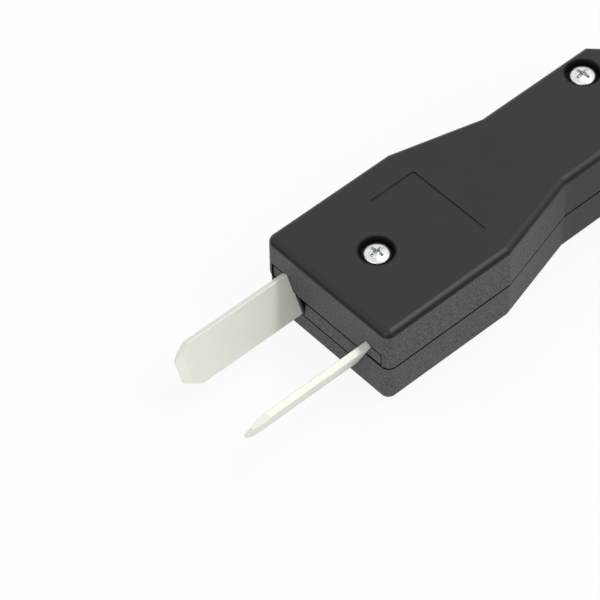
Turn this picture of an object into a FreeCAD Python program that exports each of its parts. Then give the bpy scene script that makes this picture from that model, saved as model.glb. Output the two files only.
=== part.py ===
import FreeCAD, Part
import os
import re
import Sketcher

# A two-blade charger plug: a moulded two-half handle that carries two leaning flat blades.
# Frame: millimetres, X across the plug, Y from the mating face back along the handle, Z up.
# The blades stand out towards -Y, and the two halves of the handle meet at z = 0.

os.makedirs("parts", exist_ok=True)
doc = FreeCAD.newDocument("charger_plug")

# Driving sizes, in millimetres and degrees
SIZES = {
    # outline of the housing, seen from above
    "head_margin": 10.3,
    "head_length": 43.4,
    "taper_length": 27.4,
    "neck_width": 32.6,
    "body_length": 114.0,
    "corner_radius": 2.6,
    "rear_corner_cut": 4.0,
    # section of the housing
    "upper_height": 13.5,
    "lower_height": 13.5,
    "lower_inset": 0.25,
    "draft_angle": 1.5,
    "edge_radius": 2.0,
    "parting_break": 0.15,
    "reveal_height": 0.75,
    "reveal_depth": 0.4,
    "side_wall": 2.5,
    "top_wall": 2.6,
    "front_wall": 3.0,
    "rear_wall": 6.0,
    # bare label panel in the top face
    "panel_width": 28.0,
    "panel_length": 15.8,
    "panel_start": 28.2,
    "panel_depth": 0.35,
    "panel_corner": 0.8,
    # blades
    "blade_width": 12.7,
    "blade_thickness": 2.0,
    "blade_reach": 38.8,
    "blade_tail": 25.0,
    "blade_lean": 25.8,
    "blade_offset": 13.5,
    "blade_drop": 1.1,
    "tip_length": 4.8,
    "tip_cut": 2.9,
    "bevel_length": 2.4,
    "bevel_edge": 0.8,
    "blade_round": 0.25,
    "slot_gap": 0.15,
    # rib of each half that stands in the notches of the blades
    "rib_start": 5.5,
    "rib_thickness": 3.0,
    "notch_depth": 1.6,
    "notch_gap": 0.15,
    # carrier of the blades, whose tongue and tabs fill the notches of the mating face
    "carrier_band": 4.3,
    "carrier_gap": 0.15,
    "relief_start": 8.2,
    "relief_depth": 2.4,
    "relief_wall": 0.8,
    "tongue_depth": 6.2,
    "tab_reach": 20.85,
    "tab_height": 4.6,
    "tab_foot": 0.1,
    "joint_gap": 0.4,
    # lip of the upper half inside the side walls of the lower half
    "lip_start": 12.0,
    "lip_rear": 14.0,
    "lip_thickness": 1.0,
    "lip_height": 1.4,
    "lip_gap": 0.1,
    # barrier between the two conductors
    "barrier_thickness": 1.6,
    "barrier_end": 48.0,
    # housing screws and their posts
    "front_screw_y": 18.0,
    "rear_screw_edge": 7.1,
    "rear_screw_back": 12.0,
    "post_diameter": 8.2,
    "seat_floor": 2.2,
    "recess_diameter": 9.9,
    "head_sink": 1.9,
    "shank_hole": 4.0,
    "screw_diameter": 3.5,
    "screw_length": 19.0,
    "screw_head": 7.5,
    "screw_head_rim": 0.9,
    "screw_head_dome": 1.3,
    "thread_gap": 0.05,
    "pilot_depth": 10.2,
    # cross recess of the screws
    "cross_span": 3.6,
    "cross_slot": 0.9,
    "cross_depth": 1.3,
    # terminals on the blades
    "terminal_y": 17.5,
    "terminal_screw": 4.0,
    "terminal_head": 7.4,
    "terminal_head_height": 2.4,
    "driver_slot": 1.0,
    "driver_slot_depth": 1.0,
    "terminal_grip": 1.0,
    "plate_side": 9.0,
    "plate_corner": 1.5,
    "plate_thickness": 1.2,
    "washer_diameter": 7.0,
    "washer_thickness": 1.0,
    "washer_slit": 0.8,
    "nut_flats": 7.0,
    "nut_thickness": 3.2,
    "bolt_hole_gap": 0.15,
    # cord inlet and clamp
    "inlet_diameter": 10.5,
    "inlet_bevel": 1.0,
    "clamp_back": 26.0,
    "clamp_seat": 1.0,
    "cradle_diameter": 9.5,
    "cradle_rib": 1.6,
    "clamp_screw_x": 9.8,
    "clamp_boss": 6.4,
    "strap_length": 26.4,
    "strap_width": 8.0,
    "strap_thickness": 1.2,
    "strap_corner": 1.5,
    "strap_arch": 10.0,
    "clamp_screw_length": 9.5,
    "clamp_screw_head": 6.5,
}

sheet = doc.addObject("Spreadsheet::Sheet", "Sizes")
for row, (alias, size) in enumerate(SIZES.items(), start=1):
    sheet.set(f"A{row}", alias)
    sheet.set(f"B{row}", str(size))
    sheet.setAlias(f"B{row}", alias)
doc.recompute()


# Sizes that follow from the driving ones, as expressions
HALF_HEAD = "(blade_offset + head_margin)"
HALF_TURN = f"tan(atan(({HALF_HEAD} - neck_width / 2) / taper_length) / 2)"
REAR_SCREW_X = "(neck_width / 2 - rear_screw_edge)"
REAR_SCREW_Y = "(body_length - rear_screw_back)"
SEAT_HEIGHT = "(upper_height - head_sink - screw_head_rim)"
CLAMP_Y = "(body_length - clamp_back)"
TERMINAL_LENGTH = "washer_thickness + plate_thickness + blade_thickness + nut_thickness + terminal_grip"


def formula(text):
    """Points each word of an expression that names a size at that size's cell."""
    return re.sub(r"[a-z]+(?:_[a-z]+)+", lambda word: f"Sizes.{word.group()}", text)


def number(text):
    """The present value of an expression."""
    value = sheet.evalExpression(formula(text))
    return float(getattr(value, "Value", value))


def bind(thing, path, text):
    """Ties one property of an object to an expression on the sizes."""
    thing.setExpression(path, formula(text))


def origin_plane(body, role):
    """One of the body's own origin planes."""
    return next(plane for plane in body.Origin.OriginFeatures if plane.Role == role)


def new_body(label):
    """An empty body, whose label names its file."""
    body = doc.addObject("PartDesign::Body", label)
    body.Label = label
    return body


def sketch_on(body, name, role, height="0"):
    """A sketch on an origin plane of the body, moved along the plane's normal."""
    sketch = body.newObject("Sketcher::SketchObject", f"{body.Label}_{name}_sketch")
    sketch.AttachmentSupport = [(origin_plane(body, role), "")]
    sketch.MapMode = "FlatFace"
    bind(sketch, "AttachmentOffset.Base.z", height)
    return sketch


def fix_point(sketch, line, point, across, along):
    """Holds a point of the sketch at two expressions, measured from the sketch's origin."""
    for kind, text in (("DistanceX", across), ("DistanceY", along)):
        index = sketch.addConstraint(Sketcher.Constraint(kind, line, point, number(text)))
        bind(sketch, f"Constraints[{index}]", text)


def draw_outline(sketch, points):
    """A closed outline of straight lines through the given pairs of expressions."""
    corners = [FreeCAD.Vector(number(across), number(along), 0) for across, along in points]
    first = sketch.GeometryCount
    for corner, following in zip(corners, corners[1:] + corners[:1]):
        sketch.addGeometry(Part.LineSegment(corner, following), False)
    for place, (across, along) in enumerate(points):
        before = first + (place - 1) % len(points)
        sketch.addConstraint(Sketcher.Constraint("Coincident", before, 2, first + place, 1))
        fix_point(sketch, first + place, 1, across, along)


def draw_circle(sketch, across, along, diameter):
    """A circle of the given diameter about a point."""
    centre = FreeCAD.Vector(number(across), number(along), 0)
    circle = Part.Circle(centre, FreeCAD.Vector(0, 0, 1), number(diameter) / 2)
    line = sketch.addGeometry(circle, False)
    fix_point(sketch, line, 3, across, along)
    index = sketch.addConstraint(Sketcher.Constraint("Diameter", line, number(diameter)))
    bind(sketch, f"Constraints[{index}]", diameter)


def extrude(body, kind, name, sketch, length, reverse=False):
    """A pad along the sketch's normal, or a pocket against it, unless reversed."""
    feature = body.newObject(f"PartDesign::{kind}", f"{body.Label}_{name}")
    feature.Profile = sketch
    bind(feature, "Length", length)
    feature.Reversed = reverse
    body.Tip = feature
    return feature


def revolve(body, kind, name, role, axis, points):
    """Turns an outline about an axis of its sketch, as a solid or as a groove."""
    sketch = sketch_on(body, name, role)
    draw_outline(sketch, points)
    feature = body.newObject(f"PartDesign::{kind}", f"{body.Label}_{name}")
    feature.Profile = sketch
    feature.ReferenceAxis = (sketch, [axis])
    feature.Angle = 360
    body.Tip = feature
    return feature


def dress(body, kind, name, size, wanted):
    """A fillet or a chamfer on the edges of the present tip that the test picks."""
    doc.recompute()
    base = body.Tip
    picked = [f"Edge{place}" for place, edge in enumerate(base.Shape.Edges, start=1) if wanted(edge)]
    if not picked:
        raise ValueError(f"{body.Label} has no edge for {name}")
    feature = body.newObject(f"PartDesign::{kind}", f"{body.Label}_{name}")
    feature.Base = (base, picked)
    bind(feature, "Radius" if kind == "Fillet" else "Size", size)
    body.Tip = feature
    return feature


def all_at(edge, axis, value):
    """Do all of an edge's end points lie at this value of X, Y or Z?"""
    return all(abs(getattr(vertex, axis) - value) < 0.01 for vertex in edge.Vertexes)


def rim_edges(shape, level):
    """The edges around the outside of the widest flat face at a height."""
    flat = []
    for face in shape.Faces:
        box = face.BoundBox
        if abs(box.ZMin - level) < 0.01 and abs(box.ZMax - level) < 0.01:
            flat.append(face)
    return max(flat, key=lambda face: face.BoundBox.XLength).OuterWire.Edges


def upright_at(edge, level, distance):
    """Does an upright edge start, at this height, at this distance from the mating face?"""
    feet = [vertex.Y for vertex in edge.Vertexes if abs(vertex.Z - level) < 0.01]
    return len(feet) == 1 and abs(feet[0] - distance) < 0.05


# The blade's section stands in the XZ plane: a width direction that leans outwards at the
# top, and a thickness direction square to it that points outwards and down.


def blade_point(width, thickness, side=1):
    """A point of the leaning section, as an X and a Z expression, on the right (1) or left (-1)."""
    across = f"(blade_offset + ({width}) * sin(blade_lean) + ({thickness}) * cos(blade_lean))"
    up = f"(-blade_drop + ({width}) * cos(blade_lean) - ({thickness}) * sin(blade_lean))"
    return f"{side} * {across}", up


def beside_blade(height, thickness, side=1):
    """The point at a height on a plane that lies along the blade, as blade_point gives it."""
    rise = f"({height} + blade_drop) * tan(blade_lean)"
    return f"{side} * (blade_offset + {rise} + ({thickness}) / cos(blade_lean))", height


def between_blades(bottom, top):
    """The outline between the inner walls of both blade slots, from one height to another."""
    inner = "-(blade_thickness / 2 + slot_gap)"
    right = [beside_blade(bottom, inner), beside_blade(top, inner)]
    left = [beside_blade(top, inner, -1), beside_blade(bottom, inner, -1)]
    return right + left


def plan(inset, front, rear):
    """The housing's outline seen from above, moved inwards by an inset."""
    wide = f"({HALF_HEAD} - ({inset}))"
    narrow = f"(neck_width / 2 - ({inset}))"
    bend = f"head_length - ({inset}) * {HALF_TURN}"
    throat = f"head_length + taper_length - ({inset}) * {HALF_TURN}"
    right = [(wide, front), (wide, bend), (narrow, throat), (narrow, rear)]
    left = [(f"-{across}", along) for across, along in reversed(right)]
    return right + left


def side_band(outer, inner, front, rear, side):
    """A band that follows one side of the housing between two insets."""
    far = plan(outer, front, rear)[:4]
    near = plan(inner, front, rear)[:4]
    return [(f"{side} * {across}", along) for across, along in far + near[::-1]]


def screw_places():
    """The centres of the three housing screws, seen from above."""
    rear = [(f"{side} * {REAR_SCREW_X}", REAR_SCREW_Y) for side in (1, -1)]
    return [("0", "front_screw_y")] + rear


def housing_shell(label, height, inset, upper):
    """One half as a drafted, rounded and hollowed block, before its fittings.

    The lower half starts a little below the parting plane. A tier set further in carries it up
    to the plane, which leaves a fine groove around the plug under the upper half's edge.
    """
    body = new_body(label)
    start = "0" if upper else "-reveal_height"
    if not upper:
        add_tier(body, f"({inset} + reveal_depth)")
    outline = sketch_on(body, "plan", "XY_Plane", start)
    draw_outline(outline, plan(inset, inset, f"body_length - ({inset})"))
    block = extrude(body, "Pad", "block", outline, f"{height} + ({start})", reverse=not upper)
    doc.recompute()

    # every side face leans inwards from the parting plane, apart from the mating face
    front = number(inset)
    half_way = number(f"{height} / 2")
    leaning = []
    for place, face in enumerate(block.Shape.Faces, start=1):
        upright = face.BoundBox.ZLength > half_way
        if upright and face.CenterOfMass.y > front + 0.01:
            leaning.append(f"Face{place}")
    draft = body.newObject("PartDesign::Draft", f"{label}_draft")
    draft.Base = (block, leaning)
    draft.NeutralPlane = (origin_plane(body, "XY_Plane"), [""])
    bind(draft, "Angle", "draft_angle")
    draft.Reversed = not upper
    body.Tip = draft

    rear = number(f"body_length - ({inset})")
    outside = number(height) if upper else -number(height)
    level = number(start)
    dress(body, "Fillet", "front_corners", "corner_radius", lambda edge: upright_at(edge, level, front))
    dress(body, "Chamfer", "rear_corners", "rear_corner_cut", lambda edge: upright_at(edge, level, rear))
    dress(body, "Fillet", "outer_edge", "edge_radius", lambda edge: all_at(edge, "Z", outside))
    doc.recompute()
    rim = rim_edges(body.Tip.Shape, level)
    dress(body, "Chamfer", "parting_edge", "parting_break", lambda edge: any(edge.isSame(one) for one in rim))

    hollow = sketch_on(body, "hollow", "XY_Plane")
    draw_outline(hollow, plan("side_wall", "front_wall", "body_length - rear_wall"))
    extrude(body, "Pocket", "hollow", hollow, f"{height} - top_wall", reverse=upper)
    return body


def add_tier(body, inset):
    """The raised, rounded tier of the lower half between its groove and the parting plane."""
    outline = sketch_on(body, "tier", "XY_Plane")
    draw_outline(outline, plan(inset, inset, f"body_length - {inset}"))
    extrude(body, "Pad", "tier", outline, "2 * reveal_height", reverse=True)
    front = number(inset)
    rear = number(f"body_length - {inset}")
    round_size = "corner_radius - reveal_depth"
    dress(body, "Fillet", "tier_front", round_size, lambda edge: upright_at(edge, 0, front))
    cut_size = "rear_corner_cut - reveal_depth"
    dress(body, "Chamfer", "tier_rear", cut_size, lambda edge: upright_at(edge, 0, rear))


def add_ribs(body, height, upper):
    """The rib across the head that holds the blades, and the barrier behind the front post."""
    rib = sketch_on(body, "rib", "XY_Plane")
    half = f"({HALF_HEAD} - side_wall / 2)"
    rear = "rib_start + rib_thickness"
    draw_outline(rib, [(half, "rib_start"), (half, rear), (f"-{half}", rear), (f"-{half}", "rib_start")])
    extrude(body, "Pad", "rib", rib, f"{height} - top_wall / 2", reverse=not upper)
    barrier = sketch_on(body, "barrier", "XY_Plane")
    half = "barrier_thickness / 2"
    corners = [(half, "front_screw_y + post_diameter / 4"), (half, "barrier_end")]
    draw_outline(barrier, corners + [(f"-{across}", along) for across, along in reversed(corners)])
    extrude(body, "Pad", "barrier", barrier, f"{height} - top_wall / 2", reverse=not upper)


def cut_blade_slots(body, upper):
    """Openings for the leaning blades, each open towards the parting plane so that it can be moulded.

    The upper half keeps its wall on the blade's inner face, and the lower half on its outer face.
    The slot in the rib is narrower, because the rib stands in the blade's notches.
    """
    thick = "(blade_thickness / 2 + slot_gap)"
    full = "(blade_width / 2 + slot_gap)"
    notched = "(blade_width / 2 - notch_depth + slot_gap)"
    cuts = (("wall_slot", full, "0", "front_wall"), ("rib_slot", notched, "rib_start", "rib_thickness"))
    for name, half, start, depth in cuts:
        slot = sketch_on(body, name, "XZ_Plane", f"-({start})")
        for side in (1, -1):
            low_out = blade_point(f"-{half}", thick, side)
            low_in = blade_point(f"-{half}", f"-{thick}", side)
            high_out = blade_point(half, thick, side)
            high_in = blade_point(half, f"-{thick}", side)
            if upper:
                draw_outline(slot, [high_out, high_in, low_in, (high_out[0], low_in[1])])
            else:
                draw_outline(slot, [low_out, low_in, (low_in[0], high_out[1]), high_out])
        extrude(body, "Pocket", name, slot, depth)


def front_notch(body, name, outlines):
    """A notch through the front wall for the other half's piece."""
    sketch = sketch_on(body, name, "XZ_Plane")
    for outline in outlines:
        draw_outline(sketch, outline)
    extrude(body, "Pocket", name, sketch, "front_wall")


def box_outline(left, right, low, high):
    """The four corners of an upright rectangle."""
    return [(left, low), (right, low), (right, high), (left, high)]


def cut_inlet(body):
    """Half of the round cord inlet in the rear wall, with a bevelled mouth."""
    radius = "inlet_diameter / 2"
    inner = "body_length - rear_wall - inlet_bevel"
    outer = "body_length + inlet_bevel"
    bore = [(inner, "0"), (inner, radius), ("body_length - inlet_bevel", radius)]
    mouth = [(outer, f"{radius} + 2 * inlet_bevel"), (outer, "0")]
    revolve(body, "Groove", "inlet", "YZ_Plane", "H_Axis", bore + mouth)


def upper_housing():
    """The half that shows from above: screw recesses, bare panel and lip."""
    body = housing_shell("upper_housing", "upper_height", "0", upper=True)
    add_ribs(body, "upper_height", upper=True)

    posts = sketch_on(body, "posts", "XY_Plane")
    cups = sketch_on(body, "cups", "XY_Plane", f"{SEAT_HEIGHT} - seat_floor")
    recesses = sketch_on(body, "recesses", "XY_Plane", "upper_height")
    holes = sketch_on(body, "shank_holes", "XY_Plane", "upper_height")
    for across, along in screw_places():
        draw_circle(posts, across, along, "post_diameter")
        draw_circle(cups, across, along, "recess_diameter + side_wall")
        draw_circle(recesses, across, along, "recess_diameter")
        draw_circle(holes, across, along, "shank_hole")
    extrude(body, "Pad", "posts", posts, "upper_height - top_wall / 2")
    extrude(body, "Pad", "cups", cups, f"upper_height - top_wall / 2 - {SEAT_HEIGHT} + seat_floor")
    extrude(body, "Pocket", "recesses", recesses, "head_sink + screw_head_rim")
    extrude(body, "Pocket", "shank_holes", holes, "upper_height")

    cut_blade_slots(body, upper=True)
    thick = "(blade_thickness / 2 + slot_gap)"
    full = "(blade_width / 2 + slot_gap)"
    tabs = []
    for side in (1, -1):
        inner = blade_point(full, thick, side)[0]
        outer = f"{side} * (tab_reach + joint_gap)"
        tabs.append(box_outline(inner, outer, "-tongue_depth", "tab_height"))
    front_notch(body, "tab_notches", tabs)

    lip = sketch_on(body, "lip", "XY_Plane")
    for side in (1, -1):
        rear = "body_length - rear_wall - lip_rear"
        draw_outline(lip, side_band("side_wall - lip_thickness", "side_wall", "lip_start", rear, side))
    extrude(body, "Pad", "lip", lip, "lip_height", reverse=True)

    cut_inlet(body)

    panel = sketch_on(body, "panel", "XY_Plane", "upper_height")
    half = "panel_width / 2"
    draw_outline(panel, box_outline(f"-{half}", half, "panel_start", "panel_start + panel_length"))
    extrude(body, "Pocket", "panel", panel, "panel_depth")
    across = number(half)
    top = number("upper_height")
    depth = number("panel_depth")

    def panel_corner(edge):
        heights = sorted(vertex.Z for vertex in edge.Vertexes)
        upright = len(heights) == 2 and abs(heights[1] - heights[0] - depth) < 0.001
        return upright and abs(heights[1] - top) < 0.001 and abs(abs(edge.Vertexes[0].X) - across) < 0.01

    dress(body, "Fillet", "panel_corners", "panel_corner", panel_corner)
    return body


def lower_housing():
    """The half below: screw bosses, rebate for the lip and the clamp's cradle."""
    body = housing_shell("lower_housing", "lower_height", "lower_inset", upper=False)
    add_ribs(body, "lower_height", upper=False)

    bosses = sketch_on(body, "bosses", "XY_Plane")
    pilots = sketch_on(body, "pilots", "XY_Plane")
    for across, along in screw_places():
        draw_circle(bosses, across, along, "post_diameter")
        draw_circle(pilots, across, along, "screw_diameter + 2 * thread_gap")
    extrude(body, "Pad", "bosses", bosses, "lower_height - top_wall / 2", reverse=True)
    extrude(body, "Pocket", "pilots", pilots, "pilot_depth")

    cut_blade_slots(body, upper=False)
    thick = "(blade_thickness / 2 + slot_gap)"
    full = "(blade_width / 2 + slot_gap)"
    front_notch(body, "tongue_notch", [between_blades("-(tongue_depth + joint_gap)", "tab_height")])

    rebate = sketch_on(body, "rebate", "XY_Plane")
    for side in (1, -1):
        outer = "side_wall - lip_thickness - lip_gap"
        front = "lip_start - lip_gap"
        rear = "body_length - rear_wall - lip_rear + lip_gap"
        draw_outline(rebate, side_band(outer, "side_wall + lip_gap", front, rear, side))
    extrude(body, "Pocket", "rebate", rebate, "lip_height + lip_gap")

    clamp = sketch_on(body, "clamp_bosses", "XY_Plane", "-clamp_seat")
    pilots = sketch_on(body, "clamp_pilots", "XY_Plane", "-clamp_seat")
    for side in (1, -1):
        draw_circle(clamp, f"{side} * clamp_screw_x", CLAMP_Y, "clamp_boss")
        draw_circle(pilots, f"{side} * clamp_screw_x", CLAMP_Y, "screw_diameter + 2 * thread_gap")
    extrude(body, "Pad", "clamp_bosses", clamp, "lower_height - clamp_seat - top_wall / 2", reverse=True)

    cradle = sketch_on(body, "cradle", "XY_Plane", "-clamp_seat")
    for side in (1, -1):
        front = f"{CLAMP_Y} + {side} * (clamp_boss / 2 - cradle_rib)"
        rear = f"{CLAMP_Y} + {side} * clamp_boss / 2"
        draw_outline(cradle, box_outline("-clamp_screw_x", "clamp_screw_x", front, rear))
    extrude(body, "Pad", "cradle", cradle, "lower_height - clamp_seat - top_wall / 2", reverse=True)
    extrude(body, "Pocket", "clamp_pilots", pilots, "clamp_screw_length")
    groove = sketch_on(body, "groove", "XZ_Plane", f"-({CLAMP_Y} - clamp_boss / 2)")
    draw_circle(groove, "0", "0", "cradle_diameter")
    extrude(body, "Pocket", "groove", groove, "clamp_boss")

    cut_inlet(body)
    return body


def blade_carrier():
    """The plate between the front wall and the cross rib, which both blades pass through.

    Its tongue fills the lower half's notch between the blades, with a small relief beside the
    left blade. Its two tabs fill the upper half's notches outside the blades.
    """
    body = new_body("blade_carrier")
    front = "(front_wall + carrier_gap)"
    plate = sketch_on(body, "plate", "XZ_Plane", f"-{front}")
    half = f"({HALF_HEAD} - side_wall - carrier_gap)"
    tall = "(blade_width + carrier_band) / 2"
    draw_outline(plate, box_outline(f"-{half}", half, f"-{tall}", tall))
    extrude(body, "Pad", "plate", plate, "rib_start - front_wall - 2 * carrier_gap", reverse=True)

    thick = "(blade_thickness / 2 + slot_gap)"
    full = "(blade_width / 2 + slot_gap)"
    fillers = sketch_on(body, "fillers", "XZ_Plane", "-lower_inset")
    draw_outline(fillers, between_blades("-tongue_depth", "-reveal_height"))
    for side in (1, -1):
        outer = f"{side} * tab_reach"
        foot = beside_blade("tab_foot", thick, side)
        top = beside_blade("(tab_height - reveal_height)", thick, side)
        draw_outline(fillers, [foot, (outer, foot[1]), (outer, top[1]), top])
    extrude(body, "Pad", "fillers", fillers, f"{front} - lower_inset", reverse=True)

    relief = sketch_on(body, "relief", "XZ_Plane", "-lower_inset")
    inner = f"-({thick} + relief_wall)"
    corner = beside_blade("-reveal_height", inner, -1)
    foot = beside_blade("-(tongue_depth - carrier_gap)", inner, -1)
    draw_outline(relief, [("-relief_start", "-reveal_height"), corner, foot])
    extrude(body, "Pocket", "relief", relief, "relief_depth")

    slots = sketch_on(body, "slots", "XZ_Plane", f"-{front}")
    for side in (1, -1):
        corners = ((full, thick), (full, f"-{thick}"), (f"-{full}", f"-{thick}"), (f"-{full}", thick))
        draw_outline(slots, [blade_point(width, thickness, side) for width, thickness in corners])
    extrude(body, "Pocket", "slots", slots, "rib_start - front_wall - 2 * carrier_gap")
    return body


def lean_rotation(side):
    """Turns a piece so that its Z axis is the blade's inward face normal."""
    return f"rotation(vector(0; 1; 0); {side} * (blade_lean - 90))"


def seat_on_blade(body, side, along, height):
    """Places a piece on the blade's middle line, at a height above the blade's middle plane."""
    across = f"{side} * (blade_offset - ({height}) * cos(blade_lean))"
    up = f"-blade_drop + ({height}) * sin(blade_lean)"
    place = f"placement(vector({across}; {along}; {up}); {lean_rotation(side)})"
    bind(body, "Placement", place)


def blade(label, side):
    """A flat blade, drawn flat, with a bevelled tip, retaining notches and a terminal hole."""
    body = new_body(label)
    outline = sketch_on(body, "outline", "XY_Plane", "-blade_thickness / 2")
    half = "blade_width / 2"
    notch_front = "rib_start - notch_gap"
    notch_rear = "rib_start + rib_thickness + notch_gap"
    right = [
        (f"{half} - tip_cut", "-blade_reach"),
        (half, "-(blade_reach - tip_length)"),
        (half, notch_front),
        (f"{half} - notch_depth", notch_front),
        (f"{half} - notch_depth", notch_rear),
        (half, notch_rear),
        (half, "blade_tail"),
    ]
    left = [(f"-({across})", along) for across, along in reversed(right)]
    draw_outline(outline, right + left)
    extrude(body, "Pad", "bar", outline, "blade_thickness")

    shoulder = number("-(blade_reach - tip_length)")
    wide = number(half)

    def long_edge(edge):
        ends = sorted(vertex.Y for vertex in edge.Vertexes)
        outer = all(abs(abs(vertex.X) - wide) < 0.001 for vertex in edge.Vertexes)
        return outer and abs(ends[0] - shoulder) < 0.01 and ends[1] > 0

    dress(body, "Fillet", "edges", "blade_round", long_edge)

    bevel = sketch_on(body, "bevel", "YZ_Plane", "-blade_width / 2")
    for face in (1, -1):
        surface = f"{face} * blade_thickness / 2"
        tip = [("-blade_reach", surface), ("-blade_reach", f"{face} * bevel_edge / 2")]
        draw_outline(bevel, tip + [("-(blade_reach - bevel_length)", surface)])
    extrude(body, "Pocket", "bevel", bevel, "blade_width", reverse=True)

    hole = sketch_on(body, "hole", "XY_Plane", "blade_thickness / 2")
    draw_circle(hole, "0", "terminal_y", "terminal_screw + 2 * bolt_hole_gap")
    extrude(body, "Pocket", "hole", hole, "blade_thickness")
    seat_on_blade(body, side, "0", "0")
    return body


def cut_cross(body, top):
    """A cross-shaped driver recess in a screw head."""
    sketch = sketch_on(body, "cross", "XY_Plane", top)
    long = "cross_span / 2"
    short = "cross_slot / 2"
    corner = [(long, f"-{short}"), (long, short), (short, short), (short, long)]
    quarter = [(f"-{short}", long), (f"-{short}", short), (f"-({long})", short), (f"-({long})", f"-{short}")]
    last = [(f"-{short}", f"-{short}"), (f"-{short}", f"-({long})"), (short, f"-({long})"), (short, f"-{short}")]
    draw_outline(sketch, corner + quarter + last)
    extrude(body, "Pocket", "cross", sketch, "cross_depth")


def housing_screw(label, across, along):
    """A pan head screw with a cross recess that pulls the lower half against the upper one."""
    body = new_body(label)
    top = "screw_head_rim + screw_head_dome"
    points = [
        ("0", "-screw_length"),
        ("screw_diameter / 2", "-screw_length"),
        ("screw_diameter / 2", "0"),
        ("screw_head / 2", "0"),
        ("screw_head / 2", "screw_head_rim"),
        ("screw_head / 2 - screw_head_dome", top),
        ("0", top),
    ]
    revolve(body, "Revolution", "shank", "XZ_Plane", "V_Axis", points)
    cut_cross(body, top)
    bind(body, "Placement", f"placement(vector({across}; {along}; {SEAT_HEIGHT}); rotation(vector(0; 0; 1); 0))")
    return body


def cheese_head(label, diameter, length, head, height):
    """A screw with a plain slotted head, its axis on Z and the underside of its head at z = 0."""
    body = new_body(label)
    section = [
        ("0", f"-({length})"),
        (f"{diameter} / 2", f"-({length})"),
        (f"{diameter} / 2", "0"),
        (f"{head} / 2", "0"),
        (f"{head} / 2", height),
        ("0", height),
    ]
    revolve(body, "Revolution", "shank", "XZ_Plane", "V_Axis", section)
    slot = sketch_on(body, "slot", "XY_Plane", height)
    draw_outline(slot, box_outline(f"-{head}", head, "-driver_slot / 2", "driver_slot / 2"))
    extrude(body, "Pocket", "slot", slot, "driver_slot_depth")
    return body


def clamp_screw(label, side):
    """A screw that holds one end of the cord clamp's strap."""
    head_height = "screw_head_rim + screw_head_dome"
    body = cheese_head(label, "screw_diameter", "clamp_screw_length", "clamp_screw_head", head_height)
    place = f"vector({side} * clamp_screw_x; {CLAMP_Y}; strap_thickness - clamp_seat)"
    bind(body, "Placement", f"placement({place}; rotation(vector(0; 0; 1); 0))")
    return body


def clamp_strap():
    """The metal strap that arches over the cord and is screwed down at both ends."""
    body = new_body("clamp_strap")
    front = f"-({CLAMP_Y} - strap_width / 2)"
    bar = sketch_on(body, "bar", "XZ_Plane", front)
    half = "strap_length / 2"
    draw_outline(bar, box_outline(f"-{half}", half, "-clamp_seat", "strap_thickness - clamp_seat"))
    extrude(body, "Pad", "bar", bar, "strap_width", reverse=True)
    arch = sketch_on(body, "arch", "XZ_Plane", front)
    draw_circle(arch, "0", "0", "strap_arch + 2 * strap_thickness")
    extrude(body, "Pad", "arch", arch, "strap_width", reverse=True)
    bore = sketch_on(body, "bore", "XZ_Plane", front)
    draw_circle(bore, "0", "0", "strap_arch")
    extrude(body, "Pocket", "bore", bore, "strap_width")
    under = sketch_on(body, "under", "XZ_Plane", front)
    draw_outline(under, box_outline("-strap_arch", "strap_arch", "-strap_arch", "-clamp_seat"))
    extrude(body, "Pocket", "under", under, "strap_width")
    holes = sketch_on(body, "holes", "XY_Plane", "strap_thickness - clamp_seat")
    for side in (1, -1):
        draw_circle(holes, f"{side} * clamp_screw_x", CLAMP_Y, "shank_hole")
    extrude(body, "Pocket", "holes", holes, "strap_thickness")
    end = number(half)
    dress(
        body,
        "Chamfer",
        "ends",
        "strap_corner",
        lambda edge: all(abs(abs(vertex.X) - end) < 0.01 for vertex in edge.Vertexes)
        and abs(edge.Vertexes[0].Z - edge.Vertexes[1].Z) > 0.1,
    )
    return body


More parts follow.
